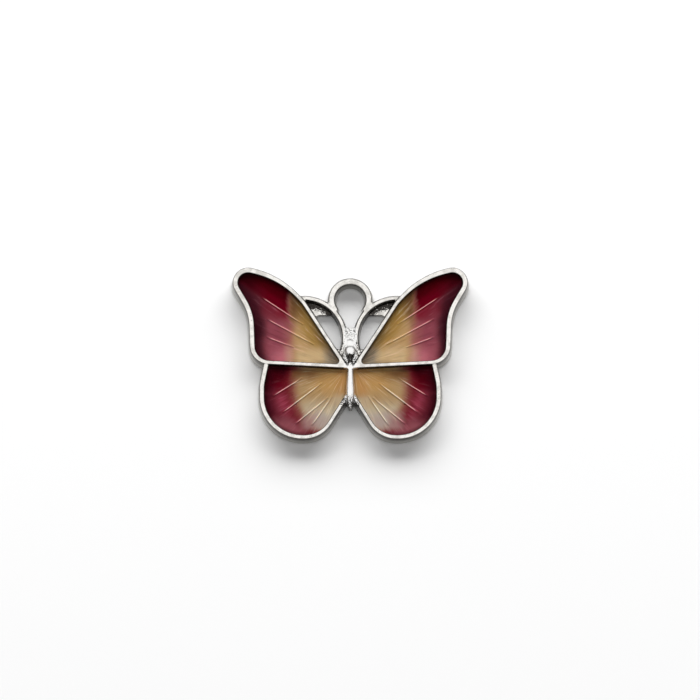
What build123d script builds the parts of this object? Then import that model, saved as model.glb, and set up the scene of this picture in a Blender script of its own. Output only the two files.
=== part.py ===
from build123d import *
from math import asin, atan2, cos, degrees, hypot, pi, radians, sin, tan
import os

# Butterfly charm in millimetres, lying on its flat back: +X right, +Y towards the hanging loop,
# +Z out of the face. One metal casting holds four wing cells, and each cell is filled with an
# amber pour next to the body and a claret pour towards the edge. The casting is written as
# simpler solids that meet face to face: body, wing frames, antennae and loop. Plan positions are
# measured from the waist, where the lower edges of the fore wings meet the centre line.

# Heights above the back
FLOOR_TOP = 0.70
ENAMEL_TOP = 1.32
FORE_RIM_TOP = 1.80
HIND_RIM_TOP = 1.66
ANTENNA_TOP = 1.35
SADDLE_TOP = 1.20
WEB_TOP = 0.60

# Casting practice
DRAFT_ANGLE = 8.0
RIM_ROUND = 0.16
RIM_BREAK = 0.11
WIRE_BREAK = 0.14  # along the tops of antennae and loop

# Fore wing: corners of the outline at the rim top, and the radius that rounds each
FORE_ROOT_X = 0.15
FORE_ROOT_Y = -0.22
HEEL_X = 10.46
HEEL_Y = 0.30
HEEL_RADIUS = 2.05
BEND_X = 10.70
BEND_Y = 5.70
BEND_RADIUS = 5.50
TIP_X = 14.15
TIP_Y = 11.55
TIP_RADIUS = 1.62
SHOULDER_X = 7.30
SHOULDER_Y = 9.87
SHOULDER_RADIUS = 9.60
KNEE_X = 4.74  # where the antenna lands on the leading edge
KNEE_Y = 6.93
KNEE_RADIUS = 4.00
CELL_ROOT_RADIUS = 0.30

# Fore wing rim widths, seen from above
BAR_RIM = 0.42
OUTER_RIM = 0.55
TIP_RIM = 0.58
LEADING_RIM = 0.42

# Hind wing: the outline starts on the bar of the fore wing and ends on the body
HIND_START_X = 9.02
FLANK_X = 9.49
FLANK_Y = -1.90
FLANK_RADIUS = 5.00
LOBE_Y = -7.73
LOBE_RADIUS = 4.55
TAIL_CORNER_X = 2.97
TAIL_CORNER_RADIUS = 3.30
HIND_END_Y = -2.95
HIND_OVERRUN = 1.26  # how far the ring first runs on under the body and the bar

# Hind wing rim widths
FLANK_RIM = 0.53
LOBE_RIM = 0.46
TAIL_RIM = 0.42

# Body, three turned shapes along the centre line, and the saddle they sit on
ABDOMEN_AXIS_Z = 1.50
WAIST_RADIUS = 0.20
WAIST_Y = 0.75
BELLY_RADIUS = 0.45
BELLY_Y = -2.10
TAIL_RADIUS = 0.16
TAIL_Y = -4.50
THORAX_AXIS_Z = 1.74
THORAX_RADIUS = 0.54
THORAX_Y = 1.66
THORAX_POINT_Y = 0.42
HEAD_RADIUS = 0.34
HEAD_Y = 2.67
NECK_HALF_WIDTH = 0.52
NECK_TOP_Y = 4.27
SADDLE_END_Y = 1.95

# Antennae, each an arc from the wing root past the neck to the leading edge
ANTENNA_NECK_X = 0.60
ANTENNA_Y = 3.17
ANTENNA_RADIUS = 4.30
ANTENNA_WIDTH = 0.48
ANTENNA_START = 72.0
ANTENNA_END = 212.0
WINDOW_TOP_Y = 5.75
WINDOW_RADIUS = 0.40

# Hanging loop that bridges the antennae
LOOP_BORE = 3.30
LOOP_WIDTH = 0.66
LOOP_SEAT = 0.14  # between the middle lines of loop and antenna where they meet

# Veins as outer end x, y, inner end x, y: cast ribs with a film of enamel over them
FORE_VEINS = [(9.30, 7.50, 5.00, 4.60), (8.75, 5.15, 3.85, 2.43), (8.75, 3.20, 5.90, 2.10)]
HIND_VEINS = [
    (8.05, -3.10, 5.05, -1.20),
    (7.02, -4.85, 3.00, -1.75),
    (5.70, -6.05, 2.36, -3.28),
    (4.00, -6.20, 1.90, -3.15),
]
VEIN_WIDTH = 0.11
VEIN_END_WIDTH = 0.05
VEIN_PROUD = 0.10
VEIN_FILM = 0.05
VEIN_TAPER = 28.0

# Where amber meets claret
FORE_BLEND_X = 6.50
HIND_BLEND_X = 0.80
HIND_BLEND_Y = -1.50
HIND_BLEND_RADIUS = 5.50

REACH = 40.0  # longer than the charm, for cutting tools
ARC_SHARE = 0.98  # part of a straight run that the arcs at its ends may use up


def draft_run(height):
    """How far a drafted wall leans out over a height."""
    return height * tan(radians(DRAFT_ANGLE))


def moved_in(corners, widths):
    """Corners of a counter-clockwise outline with each side moved in by its own width."""
    lines = []
    for i, (x, y) in enumerate(corners):
        nx, ny = corners[(i + 1) % len(corners)]
        run = hypot(nx - x, ny - y)
        ux, uy = (nx - x) / run, (ny - y) / run
        lines.append((x - uy * widths[i], y + ux * widths[i], ux, uy))
    result = []
    for i, (bx, by, bu, bv) in enumerate(lines):
        ax, ay, au, av = lines[i - 1]
        t = ((bx - ax) * bv - (by - ay) * bu) / (au * bv - av * bu)
        result.append((ax + au * t, ay + av * t))
    return result


def turn_at(corners, i):
    """Signed turn of a counter-clockwise outline at a corner, negative where it is hollow."""
    ax, ay = corners[i - 1]
    bx, by = corners[i]
    cx, cy = corners[(i + 1) % len(corners)]
    turn = atan2(cy - by, cx - bx) - atan2(by - ay, bx - ax)
    return (turn + pi) % (2 * pi) - pi


def rounded_face(corners, radii):
    """Face inside an outline of straight runs and tangent arcs; an arc that its two runs leave
    no room for is made smaller."""
    count = len(corners)
    points = [Vector(x, y) for x, y in corners]
    half_turns = [abs(turn_at(corners, i)) / 2 for i in range(count)]
    cuts = [radius * tan(half) for radius, half in zip(radii, half_turns)]
    runs = [(points[(i + 1) % count] - points[i]).length for i in range(count)]
    wants = [cuts[i] + cuts[(i + 1) % count] for i in range(count)]
    fits = [ARC_SHARE * run / want if want > run else 1.0 for run, want in zip(runs, wants)]
    cuts = [cuts[i] * min(fits[i - 1], fits[i]) for i in range(count)]
    starts, ends, edges = [], [], []
    for i in range(count):
        back = (points[i - 1] - points[i]).normalized()
        ahead = (points[(i + 1) % count] - points[i]).normalized()
        starts.append(points[i] + back * cuts[i])
        ends.append(points[i] + ahead * cuts[i])
        if cuts[i] > 0:
            radius = cuts[i] / tan(half_turns[i])
            inward = (back + ahead).normalized()
            middle = points[i] + inward * (hypot(radius, cuts[i]) - radius)
            edges.append(ThreePointArc(starts[i], middle, ends[i]))
    for i in range(count):
        edges.append(Line(ends[i], starts[(i + 1) % count]))
    return make_face(edges)


def drafted(corners, radii, height):
    """Solid from the back up to a height, true to the outline at the top, with walls that lean
    out towards the back."""
    run = draft_run(height)
    foot_corners = moved_in(corners, [-run] * len(corners))
    foot_radii = []
    for i, radius in enumerate(radii):
        side = 1 if turn_at(corners, i) > 0 else -1
        foot_radii.append(radius + side * run if radius > 0 else 0.0)
    return extrude(rounded_face(foot_corners, foot_radii), height, taper=DRAFT_ANGLE)


def cell_radii(corners, radii, widths, smallest):
    """Radii of a cell outline that runs inside a rim of the given widths."""
    result = []
    for i, radius in enumerate(radii):
        width = (widths[i - 1] + widths[i]) / 2
        side = 1 if turn_at(corners, i) > 0 else -1
        result.append(max(radius - side * width, smallest))
    return result


def top_face(solid):
    """Highest level face of a solid."""
    return solid.faces().filter_by(Plane.XY).sort_by(Axis.Z)[-1]


def round_rim(ring):
    """Round the outer edge of the flat that tops a rim and break its inner edge."""
    rounded = fillet(top_face(ring).outer_wire().edges(), RIM_ROUND)
    return chamfer(top_face(rounded).inner_wires()[0].edges(), RIM_BREAK)


FORE_CORNERS = [
    (FORE_ROOT_X, FORE_ROOT_Y),
    (HEEL_X, HEEL_Y),
    (BEND_X, BEND_Y),
    (TIP_X, TIP_Y),
    (SHOULDER_X, SHOULDER_Y),
    (KNEE_X, KNEE_Y),
]
FORE_RADII = [0.0, HEEL_RADIUS, BEND_RADIUS, TIP_RADIUS, SHOULDER_RADIUS, KNEE_RADIUS]
FORE_RIMS = [BAR_RIM, OUTER_RIM, OUTER_RIM, TIP_RIM, LEADING_RIM, LEADING_RIM]


def fore_cell():
    """Space inside the rim of a fore wing, above its floor."""
    corners = moved_in(FORE_CORNERS, FORE_RIMS)
    radii = cell_radii(FORE_CORNERS, FORE_RADII, FORE_RIMS, CELL_ROOT_RADIUS)
    return extrude(Pos(0, 0, FLOOR_TOP) * rounded_face(corners, radii), REACH)


def right_half(shape):
    """Part of a shape to the right of the centre line."""
    return shape & extrude(Rectangle(REACH, REACH, align=(Align.MIN, Align.CENTER)), REACH)


def fore_wing():
    """Rim and floor of a fore wing."""
    blank = right_half(drafted(FORE_CORNERS, FORE_RADII, FORE_RIM_TOP))
    return round_rim(blank - fore_cell())


def bar_middle(x):
    """Plan height of the middle of the bar along the lower edge of the fore wing."""
    slope = (HEEL_Y - FORE_ROOT_Y) / (HEEL_X - FORE_ROOT_X)
    return FORE_ROOT_Y + slope * (x - FORE_ROOT_X) + BAR_RIM / 2


def leading_x(y):
    """How far out the leading edge lies at a plan height near the body."""
    slope = (KNEE_X - FORE_ROOT_X) / (KNEE_Y - FORE_ROOT_Y)
    return FORE_ROOT_X + slope * (y - FORE_ROOT_Y)


HIND_CORNERS = [
    (0.0, bar_middle(0.0)),
    (0.0, HIND_END_Y),
    (TAIL_CORNER_X, LOBE_Y),
    (FLANK_X, LOBE_Y),
    (FLANK_X, FLANK_Y),
    (HIND_START_X, bar_middle(HIND_START_X)),
]
HIND_RADII = [0.0, 0.0, TAIL_CORNER_RADIUS, LOBE_RADIUS, FLANK_RADIUS, 0.0]
HIND_RIMS = [TAIL_RIM, TAIL_RIM, LOBE_RIM, FLANK_RIM, FLANK_RIM, TAIL_RIM]
RUN_UNDER = [-HIND_OVERRUN, 0.0, 0.0, 0.0, 0.0, -HIND_OVERRUN]


def right_of_body(shape):
    """Part of a shape between the centre line and the bar of the right fore wing."""
    corners = [(0, -REACH), (REACH, -REACH), (REACH, bar_middle(REACH)), (0, bar_middle(0))]
    return shape & extrude(make_face(Polyline(corners, close=True)), REACH)


def hind_cell():
    """Space inside the rim of a hind wing, above its floor."""
    corners = moved_in(moved_in(HIND_CORNERS, RUN_UNDER), HIND_RIMS)
    radii = cell_radii(HIND_CORNERS, HIND_RADII, HIND_RIMS, 0.0)
    return extrude(Pos(0, 0, FLOOR_TOP) * rounded_face(corners, radii), REACH)


def hind_wing():
    """Rim and floor of a hind wing."""
    blank = drafted(moved_in(HIND_CORNERS, RUN_UNDER), HIND_RADII, HIND_RIM_TOP)
    return right_of_body(round_rim(blank - hind_cell()))


def turned(profile, axis_z):
    """Shape turned about the centre line, with straight sides from its middle to the back."""
    solid = Pos(0, 0, axis_z) * revolve(profile, Axis.Y)
    shadow = profile + mirror(profile, Plane.YZ)
    return solid + extrude(shadow, axis_z)


def abdomen():
    """Slim spindle that swells from the waist and rounds off to the blunt tail."""
    front = Line((WAIST_RADIUS, WAIST_Y), (BELLY_RADIUS, BELLY_Y))
    back = TangentArc(front @ 1, (TAIL_RADIUS, TAIL_Y), tangent=front % 1)
    rest = Polyline((TAIL_RADIUS, TAIL_Y), (0, TAIL_Y), (0, WAIST_Y), (WAIST_RADIUS, WAIST_Y))
    return turned(make_face([front, back, rest]), ABDOMEN_AXIS_Z)


def thorax():
    """Ball drawn out to a point towards the abdomen."""
    lean = asin(THORAX_RADIUS / (THORAX_Y - THORAX_POINT_Y))
    touch = (THORAX_RADIUS * cos(lean), THORAX_Y - THORAX_RADIUS * sin(lean))
    crown = (0, THORAX_Y + THORAX_RADIUS)
    ball = RadiusArc(touch, crown, -THORAX_RADIUS)
    rest = Polyline(crown, (0, THORAX_POINT_Y), touch)
    return turned(make_face([ball, rest]), THORAX_AXIS_Z)


def head():
    """Small ball, sunk to its middle in the neck that carries the antennae."""
    height = ANTENNA_TOP - WIRE_BREAK
    plate = Rectangle(2 * NECK_HALF_WIDTH, NECK_TOP_Y - THORAX_Y, align=(Align.CENTER, Align.MIN))
    neck = Pos(0, THORAX_Y) * extrude(plate, height)
    return neck + Pos(0, HEAD_Y, height) * Sphere(HEAD_RADIUS)


def body():
    """Head, thorax and abdomen on the saddle that they share."""
    return saddle() + abdomen() + thorax() + head()


def saddle():
    """Low block that ties the wing roots together under the thorax."""
    half = leading_x(SADDLE_END_Y)
    corners = [(0, FORE_ROOT_Y), (half, SADDLE_END_Y), (-half, SADDLE_END_Y)]
    return extrude(make_face(Polyline(corners, close=True)), SADDLE_TOP)


def band(x, y, radius, width, start, end):
    """Curved bar of drafted section with broken top edges, following an arc."""
    half_widths = [
        (width / 2 + draft_run(ANTENNA_TOP), 0.0),
        (width / 2 + draft_run(WIRE_BREAK), ANTENNA_TOP - WIRE_BREAK),
        (width / 2 - WIRE_BREAK, ANTENNA_TOP),
    ]
    outside = [(radius + half, 0, height) for half, height in half_widths]
    inside = [(radius - half, 0, height) for half, height in reversed(half_widths)]
    section = make_face(Polyline(outside + inside, close=True))
    return Pos(x, y) * Rot(Z=start) * revolve(section, Axis.Z, revolution_arc=end - start)


ANTENNA_X = ANTENNA_NECK_X + ANTENNA_RADIUS
LOOP_RADIUS = (LOOP_BORE + LOOP_WIDTH) / 2
LOOP_Y = ANTENNA_Y + ((ANTENNA_RADIUS + LOOP_RADIUS + LOOP_SEAT) ** 2 - ANTENNA_X ** 2) ** 0.5


def antenna():
    """Right antenna, cut off where it reaches the cell of the fore wing."""
    arc = band(ANTENNA_X, ANTENNA_Y, ANTENNA_RADIUS, ANTENNA_WIDTH, ANTENNA_START, ANTENNA_END)
    return arc - fore_cell()


def window_web():
    """Thin web that fills the corner between antenna and leading edge down to the open window."""
    disc = Pos(ANTENNA_X, ANTENNA_Y) * Circle(ANTENNA_RADIUS)
    below = Pos(0, FORE_ROOT_Y) * Rectangle(REACH, REACH, align=(Align.CENTER, Align.MAX))
    leaf = disc - rounded_face(FORE_CORNERS, FORE_RADII) - below
    above = Pos(0, WINDOW_TOP_Y) * Rectangle(REACH, REACH, align=(Align.CENTER, Align.MIN))
    window = (leaf - above).faces().sort_by(Axis.X)[0]
    window = fillet(window.vertices().sort_by(Axis.Y)[-2:], WINDOW_RADIUS)
    return extrude(leaf.faces().sort_by(Axis.X)[0] - window, WEB_TOP)


def loop():
    """Hanging loop, which ends where it runs into the antennae."""
    ends = degrees(atan2(LOOP_Y - ANTENNA_Y, ANTENNA_X))
    arc = band(0, LOOP_Y, LOOP_RADIUS, LOOP_WIDTH, -ends, 180 + ends)
    hollow = extrude(Pos(ANTENNA_X, ANTENNA_Y) * Circle(ANTENNA_RADIUS), REACH)
    return arc - hollow - mirror(hollow, Plane.YZ)


def needle(vein, grow):
    """Plan of a vein that tapers towards the body, grown all round by a film."""
    start = Vector(vein[0], vein[1])
    end = Vector(vein[2], vein[3])
    along = (end - start).normalized()
    across = Vector(-along.Y, along.X)
    near = across * (VEIN_WIDTH / 2 + grow)
    far = across * (VEIN_END_WIDTH / 2 + grow)
    start -= along * grow
    end += along * grow
    return make_face(Polyline(start + near, start - near, end - far, end + far, close=True))


def ribs(veins):
    """Cast ribs under the veins."""
    height = ENAMEL_TOP + VEIN_PROUD - VEIN_FILM - FLOOR_TOP
    return [extrude(Pos(0, 0, FLOOR_TOP) * needle(vein, 0.0), height) for vein in veins]


def casting():
    """Solids of the casting: those on the centre line, and those of the right half."""
    trunk = body()
    fore = fore_wing() - trunk
    feeler = antenna() + window_web() - fore - trunk
    hind = hind_wing() - fore - trunk + ribs(HIND_VEINS)
    fore += ribs(FORE_VEINS)
    bridge = loop() - feeler - mirror(feeler, Plane.YZ)
    centre = {"body": trunk, "hanging_loop": bridge}
    right = {"antenna": feeler, "forewing_frame": fore, "hindwing_frame": hind}
    return centre, right


def pours(cell, veins, amber_space, metal):
    """Amber and claret pours of a right-hand cell, raised in a ridge over each vein."""
    fill = cell & extrude(Rectangle(2 * REACH, 2 * REACH), ENAMEL_TOP)
    for vein in veins:
        foot = Pos(0, 0, ENAMEL_TOP) * needle(vein, VEIN_FILM)
        fill += extrude(foot, VEIN_PROUD, taper=VEIN_TAPER)
    fill -= metal
    return fill & amber_space, fill - amber_space


def main():
    nodes, right = casting()
    metal = [nodes["body"], right["forewing_frame"], right["hindwing_frame"]]
    fore_half = Pos(FORE_BLEND_X, 0) * Rectangle(REACH, REACH, align=(Align.MAX, Align.CENTER))
    hind_disc = Pos(HIND_BLEND_X, HIND_BLEND_Y) * Circle(HIND_BLEND_RADIUS)
    fore = pours(fore_cell(), FORE_VEINS, extrude(fore_half, REACH), metal)
    hind = pours(right_of_body(hind_cell()), HIND_VEINS, extrude(hind_disc, REACH), metal)
    for wing, pair in (("forewing", fore), ("hindwing", hind)):
        for colour, pour in zip(("amber", "claret"), pair):
            right[f"{wing}_{colour}_enamel"] = pour
    for name, shape in right.items():
        nodes[f"right_{name}"] = shape
        nodes[f"left_{name}"] = mirror(shape, Plane.YZ)
    middle = Compound(list(nodes.values())).bounding_box().center()
    os.makedirs("parts", exist_ok=True)
    for name, shape in nodes.items():
        export_step(Pos(0, -middle.Y, 0) * shape, f"parts/{name}.step")


main()
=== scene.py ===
from math import cos, hypot, radians, sin

import bpy
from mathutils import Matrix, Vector
from mathutils.kdtree import KDTree


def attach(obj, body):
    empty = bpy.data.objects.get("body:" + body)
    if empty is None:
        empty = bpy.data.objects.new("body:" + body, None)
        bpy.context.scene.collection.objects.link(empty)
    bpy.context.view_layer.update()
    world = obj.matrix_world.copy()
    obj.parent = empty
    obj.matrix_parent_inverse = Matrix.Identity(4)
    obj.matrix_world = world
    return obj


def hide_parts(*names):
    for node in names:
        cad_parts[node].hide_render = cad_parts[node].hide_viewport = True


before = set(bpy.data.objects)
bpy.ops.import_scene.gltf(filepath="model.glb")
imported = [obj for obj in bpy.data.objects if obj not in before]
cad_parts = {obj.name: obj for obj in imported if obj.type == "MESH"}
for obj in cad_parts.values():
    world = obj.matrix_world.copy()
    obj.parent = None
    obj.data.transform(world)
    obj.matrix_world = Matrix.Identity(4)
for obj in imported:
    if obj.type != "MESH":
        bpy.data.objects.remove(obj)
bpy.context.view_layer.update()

# The charm is shaped in millimetres and brought to metres at the end.
MM = 0.001

CAST_NODES = ["body", "hanging_loop"]
for side in ("left", "right"):
    for part in ("antenna", "forewing_frame", "hindwing_frame"):
        CAST_NODES.append(f"{side}_{part}")

# Levels above the back
ENAMEL_TOP = 1.32
RIB_TOP = 1.37
CREST = 1.50  # all metal above this stands clear of the enamel

# Plan positions are measured from the waist, where the lower edges of the fore wings meet.
WAIST_Y = -1.485
ANTENNA_X = 4.90  # middle of the arc that an antenna follows
ANTENNA_Y = 3.17

# Middle lines of the veins, outer end then inner end
FORE_VEINS = [(9.30, 7.50, 5.00, 4.60), (8.75, 5.15, 3.85, 2.43), (8.75, 3.20, 5.90, 2.10)]
HIND_VEINS = [
    (8.05, -3.10, 5.05, -1.20),
    (7.02, -4.85, 3.00, -1.75),
    (5.70, -6.05, 2.36, -3.28),
    (4.00, -6.20, 1.90, -3.15),
]

# Making of the casting
WELD = 0.0005  # corners closer than this become one
LEVEL_SLACK = 0.01
RIBS_FROM_X = 1.8  # the ribs lie further out than the body
RIB_SINK = 0.25
VOXEL = 0.055
SMOOTHING = 0.5
CAST_PASSES = 14  # these turn the joints into small hollows
MOST_TRIANGLES = 190000

# Parts of the body that polishing shaped: half width, start and end in y, and the level they rise from
THORAX_BOX = (0.58, 0.9, 2.3, 1.3)
THORAX_STRETCH = (1.12, 1, 1)
HEAD_BOX = (0.36, 2.3, 3.05, 1.215)
HEAD_STRETCH = (1.4, 1.3, 0.7)
HEAD_Y = 2.67
HEAD_FOOT = 1.21
HEAD_SHIFT = -0.12

# Places on the casting: how much at most, and the fields with the values between which it fades in.
# Pitted are the neck, the tail, the wing roots and the window webs; the underside of the thorax is
# painted fully dark the same way, as the shade below the thorax.
PITTED_PLACES = [
    (0.4, [("x", 0.75, 0.5), ("y", 2.9, 3.2), ("y", 5.0, 4.6)]),
    (0.6, [("x", 1.1, 0.9), ("y", -2.9, -3.5)]),
    # underside of the thorax: painted fully dark as the shade below it, with its pits
    (1.0, [("x", 0.7, 0.55), ("y", 1.3, 1.15), ("y", 0.2, 0.4), ("z", 1.1, 1.3)]),
    (0.45, [("x", 0.4, 0.6), ("x", 1.6, 1.3), ("y", 3.0, 2.7), ("y", 0.1, 0.4), ("z", 1.55, 1.4)]),
    (1.0, [("reach", 3.2, 3.45), ("reach", 4.4, 4.2), ("z", 1.0, 0.8), ("y", 4.5, 4.8), ("x", 5.2, 5.0)]),
]
# A pale gleam is painted on the foot of the walls, most in the windows, on the outer wings and on the
# hind wings.
PAINTED_FOOT_GLEAM = [
    (0.5, []),
    (1.0, [("x", 1.0, 1.4), ("y", 3.4, 3.8)]),
    (1.0, [("x", 5.2, 5.6)]),
    (1.0, [("y", 0.5, 0.0)]),
]
POLISHED_BODY = [
    (1.0, [("x", 0.75, 0.6), ("y", -4.9, -4.3), ("y", 4.5, 4.2), ("z", 0.9, 1.1)]),
]

# Making of the enamel
SHEET_MARGIN = 0.4  # the sheet reaches this far past its cell
SHEET_SPACING = 0.045
SHEET_PARKED = 2.0  # what finds no pour below it stays at this level
SHEET_LANDED = 1.9  # all that found a pour lies below this
SHEET_BACK = 0.2
SHEET_PASSES = 5
DRAWN_UP = 0.07  # rise of the enamel at the metal
RIDGE_SHARE = 0.5  # of the height that the solids give the ridges over the veins
POUR_RAISED = 2.4
POUR_SLACK = 0.02
# the painted shade of the rims is measured from this far up the wing, so that it lies below them
RIM_SHADE_LOOK_UP = 0.32
SHARP_EDGE = radians(50)

# Brushed colours of the enamel
NOISE_MEAN = 0.5
CLOUD_SIZE = 2.0
STREAK_STRETCH = (26.0, 0.32, 7.0)  # round the wing root, away from it, and between the two sides
X_SWAY = 0.8
Y_SWAY = 0.9
SEAM_SWAY = 1.3
RIGHT_REACH = 0.4  # the hand that laid the colours reached this much further out on the right
SURFACE_RELIEF = 0.02  # height of the grain in the metal and of the ripples in the enamel

# Veins as painted on the enamel: a pale crest, partly painted highlight and partly thin enamel over the
# rib, and a painted shadow at its foot; widths run from the edge of a line to its core
CREST_WIDTHS = (0.065, 0.02)
FOOT_SHADOW_WIDTHS = (0.10, 0.02)
FOOT_SHADOW_OFFSET = 0.13  # the painted shadow at the foot lies this far below the crest
VEIN_OVERRUN = 0.1
OUTER_FADE = 0.8
INNER_FADE = 1.5

# Polish of the metal
GRAIN_SIZE = 0.12
POLISH_SIZE = 0.8
PIT_SHARE = 0.4  # how much more of the grain turns into pits where the metal is fully pitted
BODY_DULLNESS = 0.12

# Table, light and camera, in metres
TABLE_SIZE = 4.0
TABLE_GAP = 0.02 * MM
CARD_RADIUS = 0.15
CARD_HEIGHT = 0.042
CARD_MIDDLE = 0.025
ROOM_LIGHT = 0.12  # what the room adds to the lamps
ROOM_SEEN = 1.0  # how bright the room looks to the camera and in the metal
ELEVATION = radians(77)
DISTANCE = 0.2047
TARGET = Vector((-0.03, 0.422, 0.9)) * MM


def pick(*objects):
    """Select these objects alone, the last of them active."""
    bpy.ops.object.select_all(action="DESELECT")
    for obj in objects:
        obj.select_set(True)
    bpy.context.view_layer.objects.active = objects[-1]


def choose(obj, wanted):
    """Open a mesh in edit mode with those corners selected that a test of their place takes."""
    pick(obj)
    bpy.ops.object.mode_set(mode="EDIT")
    bpy.ops.mesh.select_mode(type="VERT")
    bpy.ops.mesh.select_all(action="DESELECT")
    bpy.ops.object.mode_set(mode="OBJECT")
    for vertex in obj.data.vertices:
        vertex.select = wanted(vertex.co)
    bpy.ops.object.mode_set(mode="EDIT")


def close():
    """Leave edit mode."""
    bpy.ops.object.mode_set(mode="OBJECT")


def work(obj, kind, **settings):
    """Give an object a modifier with these settings and apply it."""
    pick(obj)
    modifier = obj.modifiers.new(kind.lower(), kind)
    for key, value in settings.items():
        setattr(modifier, key, value)
    bpy.ops.object.modifier_apply(modifier=modifier.name)


def copy_of(nodes, label):
    """One merged copy of solids of the frame, in millimetres."""
    copies = []
    for name in nodes:
        obj = bpy.data.objects.new(label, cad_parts[name].data.copy())
        bpy.context.scene.collection.objects.link(obj)
        copies.append(obj)
    pick(*copies)
    bpy.ops.object.join()
    obj = bpy.context.object
    obj.name = label
    obj.data.materials.clear()
    obj.scale = (1 / MM, 1 / MM, 1 / MM)
    bpy.ops.object.transform_apply(location=False, rotation=False, scale=True)
    bpy.ops.mesh.customdata_custom_splitnormals_clear()
    choose(obj, lambda place: True)
    bpy.ops.mesh.remove_doubles(threshold=WELD)
    close()
    return obj


def sink_ribs(obj):
    """Lower the tops of the ribs, so that the film of enamel over them can be thin and smooth."""
    choose(obj, lambda place: abs(place.z - RIB_TOP) < LEVEL_SLACK and abs(place.x) > RIBS_FROM_X)
    bpy.ops.transform.translate(value=(0, 0, -RIB_SINK))
    close()


def in_box(box):
    """Test for the corners of the body that lie in a box."""
    half, start, end, level = box
    return lambda place: abs(place.x) < half and start < place.y - WAIST_Y < end and place.z > level


def round_body(obj):
    """Polishing leaves the thorax broad, and the head a low swelling that runs into the neck."""
    choose(obj, in_box(THORAX_BOX))
    bpy.ops.transform.resize(value=THORAX_STRETCH, center_override=(0, 0, 0))
    close()
    choose(obj, in_box(HEAD_BOX))
    bpy.ops.transform.resize(value=HEAD_STRETCH, center_override=(0, HEAD_Y + WAIST_Y, HEAD_FOOT))
    bpy.ops.transform.translate(value=(0, HEAD_SHIFT, 0))
    close()


def cast_metal():
    """The casting as the die gives it: all joints run into each other with small hollows."""
    obj = copy_of(CAST_NODES, "charm_casting")
    sink_ribs(obj)
    round_body(obj)
    work(obj, "REMESH", mode="VOXEL", voxel_size=VOXEL)
    work(obj, "SMOOTH", factor=SMOOTHING, iterations=CAST_PASSES)
    note_finish(obj)
    triangles = 2 * len(obj.data.polygons)
    work(obj, "DECIMATE", ratio=MOST_TRIANGLES / triangles)
    return obj


def ramp(value, start, end):
    """Share from 0 to 1 as a value goes from start to end."""
    return min(1.0, max(0.0, (value - start) / (end - start)))


def largest_share(place, table):
    """Largest share that any row of a table of places gives to one place."""
    largest = 0.0
    for most, limits in table:
        share = most
        for field, start, end in limits:
            share *= ramp(place[field], start, end)
        largest = max(largest, share)
    return largest


def keep_notes(obj, label, values):
    """Store one number for each corner of a mesh, for the materials to read."""
    layer = obj.data.attributes.new(label, "FLOAT", "POINT")
    layer.data.foreach_set("value", values)


def note_finish(obj):
    """Keep on each corner how pitted the die left the metal there (under the thorax this also paints the
    shade there dark), where a pale gleam is painted on the foot of the walls, what belongs to the
    polished body, and how level the surface is, which sets the painted dark of the walls."""
    notes = {"pitted": [], "foot": [], "body": [], "rise": []}
    for vertex in obj.data.vertices:
        x, y, z = abs(vertex.co.x), vertex.co.y - WAIST_Y, vertex.co.z
        place = {"x": x, "y": y, "z": z, "reach": hypot(x - ANTENNA_X, y - ANTENNA_Y)}
        notes["pitted"].append(largest_share(place, PITTED_PLACES))
        notes["foot"].append(largest_share(place, PAINTED_FOOT_GLEAM))
        notes["body"].append(largest_share(place, POLISHED_BODY))
        notes["rise"].append(abs(vertex.normal.z))
    for label, values in notes.items():
        keep_notes(obj, label, values)


def enamel_sheet(pours):
    """Top of the enamel of one cell: level, drawn up a little at the metal, raised over veins."""
    places = [vertex.co for pour in pours for vertex in pour.data.vertices]
    lows = [min(place[axis] for place in places) for axis in (0, 1)]
    highs = [max(place[axis] for place in places) for axis in (0, 1)]
    spans = [high - low + 2 * SHEET_MARGIN for low, high in zip(lows, highs)]
    middle = [(high + low) / 2 for low, high in zip(lows, highs)]
    bpy.ops.object.select_all(action="DESELECT")
    bpy.ops.mesh.primitive_grid_add(
        x_subdivisions=round(spans[0] / SHEET_SPACING),
        y_subdivisions=round(spans[1] / SHEET_SPACING),
        size=1,
        location=(middle[0], middle[1], SHEET_PARKED),
    )
    sheet = bpy.context.object
    sheet.scale = (spans[0], spans[1], 1)
    bpy.ops.object.transform_apply(location=True, rotation=True, scale=True)
    for pour in pours:
        work(
            sheet, "SHRINKWRAP", target=pour, wrap_method="PROJECT", use_project_z=True,
            use_negative_direction=True, use_positive_direction=False,
        )
    choose(sheet, lambda place: ENAMEL_TOP < place.z < SHEET_LANDED)
    bpy.ops.transform.resize(value=(1, 1, RIDGE_SHARE), center_override=(0, 0, ENAMEL_TOP))
    close()
    choose(sheet, lambda place: place.z > SHEET_LANDED)
    bpy.ops.transform.translate(value=(0, 0, ENAMEL_TOP + DRAWN_UP - SHEET_PARKED))
    close()
    work(sheet, "SMOOTH", factor=SMOOTHING, iterations=SHEET_PASSES)
    choose(sheet, lambda place: True)
    bpy.ops.mesh.region_to_loop()
    drop = (0, 0, SHEET_BACK - ENAMEL_TOP)
    bpy.ops.mesh.extrude_region_move(TRANSFORM_OT_translate={"value": drop})
    bpy.ops.transform.resize(value=(1, 1, 0), center_override=(0, 0, SHEET_BACK))
    bpy.ops.mesh.edge_face_add()
    bpy.ops.mesh.select_all(action="SELECT")
    bpy.ops.mesh.normals_make_consistent(inside=False)
    close()
    return sheet


def raise_pour(pour):
    """Make the top of a pour flat and high, so that only its walls and its back stay."""
    sink_ribs(pour)
    choose(pour, lambda place: place.z > ENAMEL_TOP - POUR_SLACK)
    bpy.ops.transform.resize(value=(1, 1, 0), center_override=(0, 0, POUR_RAISED))
    close()


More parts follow.
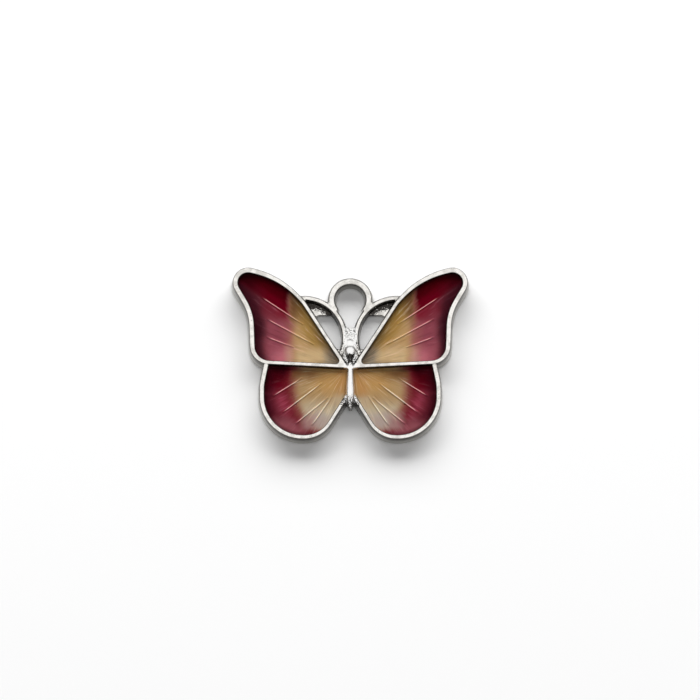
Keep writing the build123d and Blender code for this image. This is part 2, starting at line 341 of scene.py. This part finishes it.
def mirrored(obj, label):
    """Copy of a piece for the other side of the body."""
    twin = bpy.data.objects.new(label, obj.data.copy())
    bpy.context.scene.collection.objects.link(twin)
    choose(twin, lambda place: True)
    bpy.ops.transform.resize(value=(-1, 1, 1), center_override=(0, 0, 0))
    bpy.ops.mesh.normals_make_consistent(inside=False)
    close()
    return twin


def crest_tree(obj):
    """Plan of all metal that stands clear of the enamel, for measuring distances to it."""
    points = [vertex.co for vertex in obj.data.vertices if vertex.co.z > CREST]
    tree = KDTree(len(points))
    for i, point in enumerate(points):
        tree.insert((point.x, point.y, 0), i)
    tree.balance()
    return tree


def note_distances(obj, tree):
    """Keep on each corner of a pour how far the metal is, and how far it is from a little higher up the
    wing, which is small below a rim; the enamel is painted dark by these, as the shade of the rims."""
    for label, step in (("rim", 0.0), ("under", RIM_SHADE_LOOK_UP)):
        values = []
        for vertex in obj.data.vertices:
            _, _, distance = tree.find((vertex.co.x, vertex.co.y + step, 0))
            values.append(distance)
        keep_notes(obj, label, values)


def enamel_pieces(wing, tree):
    """The two pours of a right-hand cell and their twins on the left."""
    names = [f"right_{wing}_{tint}_enamel" for tint in ("amber", "claret")]
    pours = [copy_of([name], name.replace("right_", "right_poured_")) for name in names]
    sheet = enamel_sheet(pours)
    pieces = {}
    for name, pour in zip(names, pours):
        raise_pour(pour)
        work(pour, "BOOLEAN", object=sheet, operation="INTERSECT", solver="MANIFOLD")
        note_distances(pour, tree)
        pieces[name] = pour
        left = name.replace("right_", "left_")
        pieces[left] = mirrored(pour, left.replace("left_", "left_poured_"))
    bpy.data.objects.remove(sheet)
    return pieces


def settle(obj):
    """Bring a finished piece to metres, with its place in its mesh."""
    pick(obj)
    obj.scale = (MM, MM, MM)
    bpy.ops.object.transform_apply(location=True, rotation=True, scale=True)


def colour(code):
    """Linear colour of an sRGB hex value."""
    parts = [int(code[i:i + 2], 16) / 255 for i in (1, 3, 5)]
    return [p / 12.92 if p <= 0.04045 else ((p + 0.055) / 1.055) ** 2.4 for p in parts] + [1.0]


def node(tree, kind, links=None, **settings):
    """Add a node with its settings; links gives a socket a value or joins it to an output."""
    made = tree.nodes.new(kind)
    for key, value in settings.items():
        setattr(made, key, value)
    for socket, value in (links or {}).items():
        if isinstance(value, bpy.types.NodeSocket):
            tree.links.new(value, made.inputs[socket])
        else:
            made.inputs[socket].default_value = value
    return made


def maths(tree, operation, *values):
    """Result of a sum on numbers or outputs."""
    return node(tree, "ShaderNodeMath", dict(enumerate(values)), operation=operation).outputs[0]


def vectors(tree, operation, *values):
    """Result of a sum on vectors: a number for a length or a dot product, or else a vector."""
    made = node(tree, "ShaderNodeVectorMath", dict(enumerate(values)), operation=operation)
    return made.outputs["Value" if operation in ("LENGTH", "DOT_PRODUCT") else "Vector"]


def attribute(tree, label):
    """Number that was kept on the corners of the mesh."""
    return node(tree, "ShaderNodeAttribute", attribute_name=label).outputs["Fac"]


def new_material(name):
    """Empty material with its shader and output."""
    material = bpy.data.materials.new(name)
    material.use_nodes = True
    tree = material.node_tree
    tree.nodes.clear()
    shader = node(tree, "ShaderNodeBsdfPrincipled")
    node(tree, "ShaderNodeOutputMaterial", {"Surface": shader.outputs[0]})
    return material, tree, shader


def share_of(tree, fields, limits):
    """How much of a wash shows: it fades in from the first to the second value of each field."""
    share = None
    for field, start, end in limits:
        step = node(
            tree, "ShaderNodeMapRange", {"Value": fields[field], "From Min": start, "From Max": end},
            interpolation_type="SMOOTHSTEP",
        ).outputs[0]
        share = step if share is None else maths(tree, "MULTIPLY", share, step)
    return share


def washes(tree, fields, base, table):
    """Thin coats of colour, one over the other."""
    under = colour(base)
    for code, most, limits in table:
        share = maths(tree, "MULTIPLY", share_of(tree, fields, limits), most)
        # sockets 6 and 7 take the two colours that output 2 mixes
        coat = node(tree, "ShaderNodeMix", {0: share, 6: under, 7: colour(code)}, data_type="RGBA")
        under = coat.outputs[2]
    return under


def plan_fields(tree, root):
    """Place on the wing in millimetres, mirrored about the body, with the fields that come of it."""
    place = node(tree, "ShaderNodeTexCoord").outputs["Object"]
    place = vectors(tree, "MULTIPLY", place, (1 / MM, 1 / MM, 0))
    across, along, _ = node(tree, "ShaderNodeSeparateXYZ", {0: place}).outputs
    side = maths(tree, "SIGN", across)
    x = maths(tree, "ABSOLUTE", across)
    y = maths(tree, "SUBTRACT", along, WAIST_Y)
    plan = node(tree, "ShaderNodeCombineXYZ", {0: x, 1: y}).outputs[0]
    # clouds, different on the two sides of the body
    cloud = node(
        tree, "ShaderNodeTexNoise", {"Vector": place, "Scale": 1 / CLOUD_SIZE, "Detail": 3.0},
    ).outputs[0]
    # brush streaks about a tenth of a millimetre wide that fan out from the wing root
    arm = vectors(tree, "SUBTRACT", plan, root)
    ends = node(tree, "ShaderNodeSeparateXYZ", {0: arm})
    angle = maths(tree, "ARCTAN2", ends.outputs[1], ends.outputs[0])
    reach = vectors(tree, "LENGTH", arm)
    fan = node(tree, "ShaderNodeCombineXYZ", {0: angle, 1: reach, 2: side}).outputs[0]
    fan = vectors(tree, "MULTIPLY", fan, STREAK_STRETCH)
    streak = node(
        tree, "ShaderNodeTexNoise", {"Vector": fan, "Scale": 1.0, "Detail": 4.0, "Roughness": 0.6},
    ).outputs[0]
    # clouds and streaks carry the edges of the coats to and fro
    sway = maths(tree, "ADD", maths(tree, "ADD", cloud, streak), -2 * NOISE_MEAN)
    uneven = maths(tree, "MULTIPLY_ADD", side, -RIGHT_REACH / 2, -RIGHT_REACH / 2)
    x_laid = maths(tree, "ADD", x, uneven)
    return {
        "plan": plan,
        "streak": streak,
        "x_true": x,
        "x": maths(tree, "MULTIPLY_ADD", sway, X_SWAY, x_laid),
        "y": maths(tree, "MULTIPLY_ADD", sway, Y_SWAY, y),
        "rim": attribute(tree, "rim"),
        "under": attribute(tree, "under"),
    }


def vein_fields(tree, fields, veins):
    """Pale crest of each vein, partly a painted highlight and partly the thin enamel over its rib, and a
    painted shadow at the foot on its lower side.
    """
    crest = foot = None
    for x0, y0, x1, y1 in veins:
        along = Vector((x1 - x0, y1 - y0, 0))
        length = along.length
        along.normalize()
        across = Vector((along.y, -along.x, 0))
        if across.y < 0:
            across.negate()
        arm = vectors(tree, "SUBTRACT", fields["plan"], (x0, y0, 0))
        off = vectors(tree, "DOT_PRODUCT", arm, across)
        here = {
            "run": vectors(tree, "DOT_PRODUCT", arm, along),
            "off": maths(tree, "ABSOLUTE", off),
            "low": maths(tree, "ABSOLUTE", maths(tree, "ADD", off, FOOT_SHADOW_OFFSET)),
        }
        ends = [
            ("run", -VEIN_OVERRUN, OUTER_FADE),
            ("run", length + VEIN_OVERRUN, length - INNER_FADE),
        ]
        bright = share_of(tree, here, [("off", *CREST_WIDTHS)] + ends)
        dark = share_of(tree, here, [("low", *FOOT_SHADOW_WIDTHS)] + ends)
        crest = bright if crest is None else maths(tree, "MAXIMUM", crest, bright)
        foot = dark if foot is None else maths(tree, "MAXIMUM", foot, dark)
    fields["crest"], fields["foot"] = crest, foot


def enamel(name, root, veins, base, table, seam):
    """Cold enamel: a glossy poured resin. The colours were brushed on wet, so they run into each other in
    streaks along the wing. Beside the metal they are painted darkest, as painted shade of the rims, where
    the pour is also drawn up a little deeper; each vein gets a pale crest, partly painted highlight and
    partly thin enamel over its rib, and a painted shadow at its foot.
    The seam names a field: the distance from a point, or from a line through it with a normal."""
    material, tree, shader = new_material(name)
    fields = plan_fields(tree, root)
    vein_fields(tree, fields, veins)
    label, point, normal = seam
    arm = vectors(tree, "SUBTRACT", fields["plan"], point)
    if normal is None:
        fields[label] = vectors(tree, "LENGTH", arm)
    else:
        fields[label] = vectors(tree, "DOT_PRODUCT", arm, normal)
    carry = maths(tree, "MULTIPLY", maths(tree, "ADD", fields["streak"], -NOISE_MEAN), SEAM_SWAY)
    fields[label + "_run"] = maths(tree, "ADD", fields[label], carry)
    tone = washes(tree, fields, base, table)
    tree.links.new(tone, shader.inputs["Base Color"])
    shader.inputs["Roughness"].default_value = 0.16
    shader.inputs["IOR"].default_value = 1.5
    # straight on the deep colour swallows the gleam, which comes up at low angles
    shader.inputs["Specular Tint"].default_value = colour("#2A1414")
    shader.inputs["Subsurface Weight"].default_value = 0.4
    shader.inputs["Subsurface Radius"].default_value = (1.0, 0.6, 0.4)
    shader.inputs["Subsurface Scale"].default_value = 0.35 * MM
    ripple = node(
        tree, "ShaderNodeBump",
        {"Height": fields["streak"], "Strength": 0.12, "Distance": SURFACE_RELIEF * MM},
    )
    tree.links.new(ripple.outputs[0], shader.inputs["Normal"])
    return material


# Each coat: colour, how strong at most, and the fields with the values between which it fades in.
FORE_COATS = [
    ("#6A1C2A", 0.9, [("y", 4.2, 6.4)]),
    ("#4E2029", 0.9, [("x", 8.5, 10.0)]),
    ("#BE6E79", 0.9, [("y", 2.7, 1.0), ("x", 9.0, 6.8)]),
    ("#761828", 0.8, [("y", 4.6, 5.8), ("x", 8.6, 7.0)]),
    ("#5E0214", 1.0, [("above", -0.14, 0.10), ("x", 9.8, 8.8)]),
    ("#540312", 0.9, [("above", -0.5, 0.4), ("x", 8.6, 9.4)]),
    ("#48010A", 0.9, [("above", 0.5, 1.25)]),
    ("#2A0208", 0.75, [("x", 9.2, 10.8), ("above", -0.3, 0.5)]),
    ("#985C56", 1.0, [("x", 6.9, 6.1)]),
    ("#985C56", 0.7, [("x", 7.6, 6.3), ("y", 5.6, 4.0)]),
    ("#C09082", 0.8, [("y", 2.8, 1.4), ("x", 7.3, 6.2)]),
    ("#7B4C3A", 1.0, [("y", 4.2, 5.6), ("x", 6.7, 6.1)]),
    ("#AF8D60", 1.0, [("x", 6.6, 5.3)]),
    ("#6A482C", 0.9, [("y", 4.2, 6.2), ("x", 6.5, 5.9)]),
    ("#9C7A3C", 0.75, [("under", 1.9, 0.9), ("x", 6.0, 4.6)]),
    ("#CBB088", 0.75, [("y", 2.8, 1.2), ("x", 6.0, 5.2)]),
    ("#8E8474", 0.9, [("x", 3.2, 1.9), ("y", 2.6, 1.5)]),
    # painted shade below the leading rim, near the wing root
    ("#5E4A30", 0.4, [("under", 0.9, 0.3), ("x", 4.4, 3.2)]),
    ("#F0D9B0", 0.45, [("streak", 0.52, 0.75), ("x", 6.6, 5.6)]),
    ("#D68A98", 0.22, [("streak", 0.52, 0.78), ("above", 0.0, -0.4)]),
    ("#2A0A0A", 0.35, [("streak", 0.48, 0.25)]),
    # painted shadow at the foot of each vein, then its pale crest: partly painted highlight, partly thin
    # enamel over the rib
    ("#2B0810", 0.2, [("foot", 0.0, 1.0)]),
    ("#EAAAA8", 0.75, [("crest", 0.0, 1.0), ("x_true", 5.4, 6.6)]),
    ("#ECD0A6", 0.65, [("crest", 0.0, 1.0), ("x_true", 6.6, 5.4)]),
    # painted shade of the rims: the enamel is painted dark beside the metal, most below the upper and
    # outer rims
    ("#2A0610", 0.78, [("rim", 1.5, 0.10), ("x", 8.2, 9.4), ("above", 0.3, -0.2)]),
    ("#2A0610", 0.55, [("rim", 2.1, 0.6), ("x", 8.0, 9.0), ("y", 5.8, 4.8), ("y", 2.6, 3.6)]),
    ("#1C0306", 0.4, [("rim", 0.25, 0.02), ("y", 0.5, 1.2)]),
]
HIND_COATS = [
    ("#884A52", 0.9, [("y", -4.9, -6.2)]),
    ("#9A3E52", 0.8, [("y", -2.6, -3.6), ("y", -5.1, -3.7), ("middle", 7.4, 6.0)]),
    ("#5A0314", 0.95, [("y", -3.1, -1.9)]),
    ("#48020C", 0.9, [("y", -2.0, -1.2)]),
    ("#6A1A22", 0.8, [("middle_run", 6.7, 5.6)]),
    ("#844A42", 1.0, [("middle_run", 6.0, 4.9)]),
    ("#A88A62", 1.0, [("middle_run", 5.4, 4.2)]),
    ("#B38A52", 0.85, [("y", -3.5, -1.9), ("x", 5.2, 2.4)]),
    ("#B8AA92", 0.8, [("y", -3.0, -4.8), ("middle", 5.2, 4.3)]),
    ("#A07E7A", 0.8, [("y", -4.2, -5.6), ("y", -7.0, -6.2), ("middle", 2.8, 4.4), ("x", 5.6, 4.4)]),
    ("#ABA096", 0.6, [("y", -4.5, -5.3), ("y", -7.0, -6.2), ("x", 4.2, 3.0)]),
    ("#B8A488", 0.6, [("x", 2.2, 1.3), ("y", -2.8, -3.5), ("y", -4.6, -3.8)]),
    # darker brown below the bar: painted shade of the bar, carried on past the shadow that the bar itself
    # casts
    ("#704A2A", 0.85, [("y", -2.0, -0.7), ("x", 1.8, 4.4), ("middle", 5.8, 5.2), ("rim", 0.1, 0.7)]),
    ("#B07848", 0.3, [("x", 1.9, 0.9), ("y", -3.6, -2.6)]),
    ("#EAD9B8", 0.45, [("streak", 0.52, 0.75), ("middle", 5.6, 4.8)]),
    ("#D68A98", 0.15, [("streak", 0.52, 0.78), ("middle", 5.2, 5.8)]),
    ("#2A0A0A", 0.35, [("streak", 0.48, 0.25)]),
    # painted shadow at the foot of each vein, then its pale crest: partly painted highlight, partly thin
    # enamel over the rib
    ("#2B0810", 0.2, [("foot", 0.0, 1.0)]),
    ("#F0B2B0", 0.8, [("crest", 0.0, 1.0), ("middle", 4.8, 5.8)]),
    ("#F2E2C8", 0.8, [("crest", 0.0, 1.0), ("middle", 5.8, 4.8)]),
    # painted shade of the rims: dark beside the outer and lower rims and beside the body
    ("#30040E", 0.85, [("rim", 1.7, 0.2), ("middle", 5.6, 6.6), ("y", -6.4, -4.8)]),
    ("#1C0306", 0.6, [("rim", 0.45, 0.02), ("middle", 5.2, 6.0), ("y", -0.4, -0.9)]),
    ("#2A1808", 0.35, [("rim", 0.3, 0.04), ("x_true", 1.2, 0.9), ("y", -3.6, -3.2)]),
]
METAL_COATS = [
    ("#CFCCC6", 0.75, [("cloud", 0.40, 0.66)]),
    ("#FCFBF9", 1.0, [("body", 0.0, 1.0)]),
    # dark on the steep walls: partly patina where the polish didn't reach, partly painted shade and
    # painted dark reflection
    ("#5E5B57", 1.0, [("rise", 0.95, 0.55), ("body", 1.0, 0.0)]),
    # painted gleam: the foot of the walls painted pale, as a reflection of the bright table
    ("#CCC9C4", 0.9, [("rise", 0.5, 0.3), ("height", 1.45 * MM, 0.4 * MM), ("foot", 0.0, 1.0)]),
    ("#34312E", 1.0, [("pits", 0.66, 0.78)]),
]


def plated_zinc():
    """Die-cast zinc alloy with bright silver plating: a pale mirror on the tops, which the wheel reached,
    and dark and pitted on the walls and in the corners, which it didn't. The dark on the walls is partly
    that patina and partly painted shade and painted dark reflection; the foot of the walls carries a
    painted pale gleam, and the underside of the thorax is painted dark as shade."""
    material, tree, shader = new_material("die_cast_zinc_silver_plated")
    place = node(tree, "ShaderNodeTexCoord").outputs["Object"]
    # grain of the casting, and faint clouds that the polish left
    grain, cloud = [
        node(
            tree, "ShaderNodeTexNoise", {"Vector": place, "Scale": 1 / (size * MM), "Detail": detail},
        ).outputs[0]
        for size, detail in ((GRAIN_SIZE, 2.0), (POLISH_SIZE, 4.0))
    ]
    fields = {label: attribute(tree, label) for label in ("pitted", "foot", "body", "rise")}
    fields["height"] = node(tree, "ShaderNodeSeparateXYZ", {0: place}).outputs[2]
    fields["cloud"] = cloud
    fields["pits"] = maths(tree, "MULTIPLY_ADD", fields["pitted"], PIT_SHARE, grain)
    tone = washes(tree, fields, "#F6F3EE", METAL_COATS)
    tree.links.new(tone, shader.inputs["Base Color"])
    shader.inputs["Metallic"].default_value = 1.0
    dull = node(
        tree, "ShaderNodeMapRange",
        {"Value": cloud, "From Min": 0.3, "From Max": 0.7, "To Min": 0.14, "To Max": 0.30},
    ).outputs[0]
    # the body is only tumbled, so it gleams more softly than the rims
    soft = maths(tree, "MULTIPLY_ADD", fields["body"], BODY_DULLNESS, dull)
    tree.links.new(soft, shader.inputs["Roughness"])
    depth = node(
        tree, "ShaderNodeMapRange", {"Value": fields["pitted"], "To Min": 0.2, "To Max": 1.0},
    ).outputs[0]
    bump = node(
        tree, "ShaderNodeBump",
        {"Height": grain, "Strength": depth, "Distance": SURFACE_RELIEF * MM},
    )
    tree.links.new(bump.outputs[0], shader.inputs["Normal"])
    return material


def matt_card(name, code):
    """Smooth coated card: even and without gloss."""
    material, _, shader = new_material(name)
    shader.inputs["Base Color"].default_value = colour(code)
    shader.inputs["Roughness"].default_value = 0.9
    shader.inputs["Specular IOR Level"].default_value = 0.0
    return material


def white_room():
    """Even white surroundings, bright to look at but dim as a light."""
    world = bpy.data.worlds.new("white_room")
    world.use_nodes = True
    tree = world.node_tree
    tree.nodes.clear()
    rays = node(tree, "ShaderNodeLightPath").outputs
    seen = maths(tree, "MAXIMUM", rays["Is Camera Ray"], rays["Is Glossy Ray"])
    seen = maths(tree, "MAXIMUM", seen, rays["Is Transmission Ray"])
    level = node(tree, "ShaderNodeMapRange", {"Value": seen, "To Min": ROOM_LIGHT, "To Max": ROOM_SEEN})
    room = node(tree, "ShaderNodeBackground", {"Color": (1, 1, 1, 1), "Strength": level.outputs[0]})
    node(tree, "ShaderNodeOutputWorld", {"Surface": room.outputs[0]})
    return world


def lamp(name, place, width, height, watts):
    """Soft box that looks at the charm and isn't mirrored in it."""
    data = bpy.data.lights.new(name, "AREA")
    data.shape = "RECTANGLE"
    data.size = width
    data.size_y = height
    data.energy = watts
    obj = bpy.data.objects.new(name, data)
    bpy.context.scene.collection.objects.link(obj)
    obj.location = place
    obj.rotation_euler = Vector(place).to_track_quat("Z", "Y").to_euler()
    obj.visible_glossy = False


# The charm
casting = cast_metal()
crests = crest_tree(casting)
fore = enamel_pieces("forewing", crests)
hind = enamel_pieces("hindwing", crests)

# The deep red of the fore wing ends along its first vein; below it the claret is a paler mauve, partly
# pearl in the enamel and partly a painted reflection hazing the red. The amber of the hind wing is round.
fore_enamel = enamel(
    "poured_cold_enamel_forewing", (0.4, 0.15, 0), FORE_VEINS, "#88434E", FORE_COATS,
    ("above", (9.30, 7.50, 0), (-0.559, 0.829, 0)),
)
hind_enamel = enamel(
    "poured_cold_enamel_hindwing", (0.4, -0.15, 0), HIND_VEINS, "#7A2A38", HIND_COATS,
    ("middle", (0.80, -2.20, 0), None),
)

settle(casting)
casting.data.materials.append(plated_zinc())
pick(casting)
bpy.ops.object.shade_smooth()
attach(casting, "root")
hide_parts(*CAST_NODES)
for pieces, material in ((fore, fore_enamel), (hind, hind_enamel)):
    for name, piece in pieces.items():
        settle(piece)
        piece.data.materials.clear()
        piece.data.materials.append(material)
        pick(piece)
        bpy.ops.object.shade_smooth_by_angle(angle=SHARP_EDGE)
        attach(piece, "root")
        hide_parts(name)

# White table, and dark cards round the horizon that only the metal mirrors
bpy.ops.object.select_all(action="DESELECT")
bpy.ops.mesh.primitive_plane_add(size=TABLE_SIZE, location=(0, 0, -TABLE_GAP))
table = bpy.context.object
table.name = "white_table"
table.data.materials.append(matt_card("coated_white_card", "#FAFAFA"))
bpy.ops.mesh.primitive_cylinder_add(
    vertices=48, radius=CARD_RADIUS, depth=CARD_HEIGHT, end_fill_type="NOTHING",
    location=(0, 0, CARD_MIDDLE),
)
cards = bpy.context.object
cards.name = "dark_cards"
cards.data.materials.append(matt_card("black_card", "#1E1E1E"))
for ray in ("camera", "diffuse", "transmission", "shadow", "volume_scatter"):
    setattr(cards, f"visible_{ray}", False)

bpy.context.scene.world = white_room()
lamp("wide_soft_box", place=(0.0, 0.88, 0.48), width=2.0, height=0.55, watts=26.0)
lamp("overhead_soft_box", place=(0.0, 0.0, 1.0), width=0.8, height=0.8, watts=2.0)

lens = bpy.data.cameras.new("camera")
lens.lens = 100
lens.sensor_width = 36
lens.clip_start = 0.01
camera = bpy.data.objects.new("camera", lens)
bpy.context.scene.collection.objects.link(camera)
camera.location = TARGET + DISTANCE * Vector((0, -cos(ELEVATION), sin(ELEVATION)))
camera.rotation_euler = (radians(90) - ELEVATION, 0, 0)
bpy.context.scene.camera = camera
bpy.context.scene.view_settings.view_transform = "Standard"
